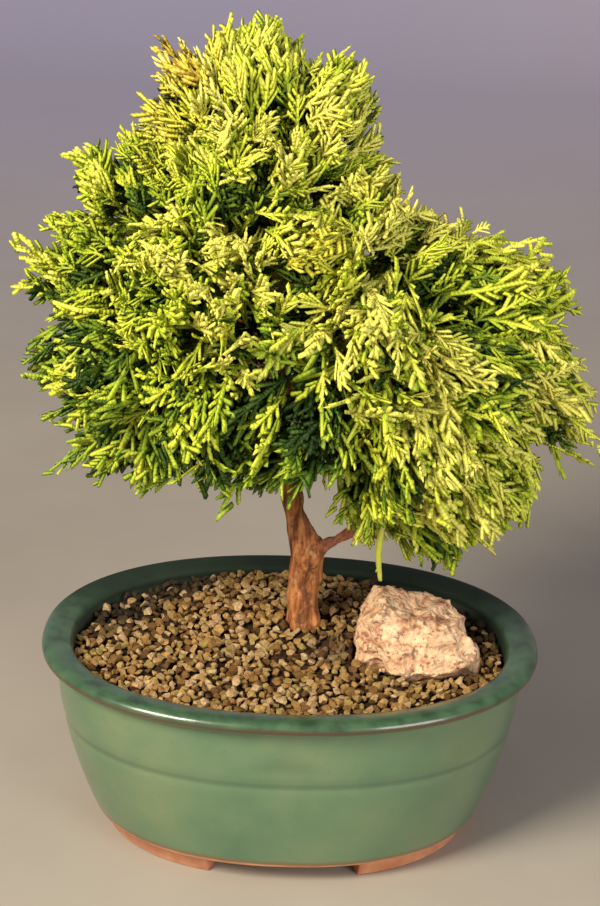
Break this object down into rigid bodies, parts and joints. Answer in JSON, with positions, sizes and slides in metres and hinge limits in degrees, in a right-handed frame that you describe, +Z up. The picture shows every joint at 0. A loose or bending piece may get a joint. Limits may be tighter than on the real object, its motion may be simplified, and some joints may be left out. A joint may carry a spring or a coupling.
{
  "type": "hinoki cypress bonsai",
  "caption": "Small hinoki cypress bonsai with dense fan-shaped golden green sprays on a forked trunk, in an oval glazed pot with grit and a landscape stone.",
  "frame": {"origin": "middle of the whole part's box, at the underside of the pot's feet", "axes": "+Z up, X along the pot's length with the stone towards +X, -Y towards the viewer"},
  "size_m": [0.2198, 0.182, 0.3322],
  "materials": {
    "pot_glaze": "mottled celadon green glaze, glossy, breaking brown along the lip, with unglazed terracotta orange feet",
    "drain_mesh": "black moulded mesh",
    "soil": "dark damp bonsai soil mix with fine roots",
    "gravel": "dry mixed grit, tan to brown grains with some grey and olive ones",
    "stone": "rough pitted pinkish beige landscape stone, matte",
    "bark": "fibrous orange brown peeling bark, matte",
    "foliage_gold": "living scale leaves, pale yellow green to gold at the tips, slightly waxy",
    "foliage_green": "living scale leaves, deep green, slightly waxy",
    "foliage_bronze": "ageing scale leaves, bronze to olive brown"
  },
  "bodies": {
    "root": {"pot": "pot_glaze", "drain_screen_left": "drain_mesh", "drain_screen_right": "drain_mesh", "soil": "soil", "gravel": "gravel", "stone": "stone", "trunk": "bark", "spray_apex": "foliage_gold", "spray_apex_left": "foliage_bronze", "spray_apex_right": "foliage_gold", "spray_high_left": "foliage_gold", "spray_high_front": "foliage_gold", "spray_high_right": "foliage_gold", "spray_high_back": "foliage_gold", "spray_horn_left": "foliage_gold", "spray_shoulder_front": "foliage_gold", "spray_shoulder_left": "foliage_gold", "spray_shoulder_right": "foliage_gold", "spray_shoulder_back_left": "foliage_gold", "spray_shoulder_back_right": "foliage_gold", "spray_left_upper": "foliage_gold", "spray_right_upper": "foliage_gold", "spray_front_right_upper": "foliage_gold", "spray_front_far_right": "foliage_gold", "spray_back_upper": "foliage_gold", "spray_back_left_middle": "foliage_green", "spray_back_right_middle": "foliage_gold", "spray_left_middle": "foliage_green", "spray_left_front_middle": "foliage_gold", "spray_front_left_middle": "foliage_gold", "spray_front_middle": "foliage_green", "spray_front_centre": "foliage_green", "spray_front_right_middle": "foliage_gold", "spray_right_middle": "foliage_gold", "spray_back_middle": "foliage_gold", "spray_back_left_low": "foliage_green", "spray_left_low": "foliage_green", "spray_left_back_low": "foliage_green", "spray_front_low": "foliage_green", "spray_right_front_low": "foliage_gold", "spray_right_back_low": "foliage_green", "spray_back_low": "foliage_green", "spray_front_right_low": "foliage_green", "spray_hanging_right": "foliage_gold", "spray_hanging_far_right": "foliage_gold"}
  },
  "joints": []
}
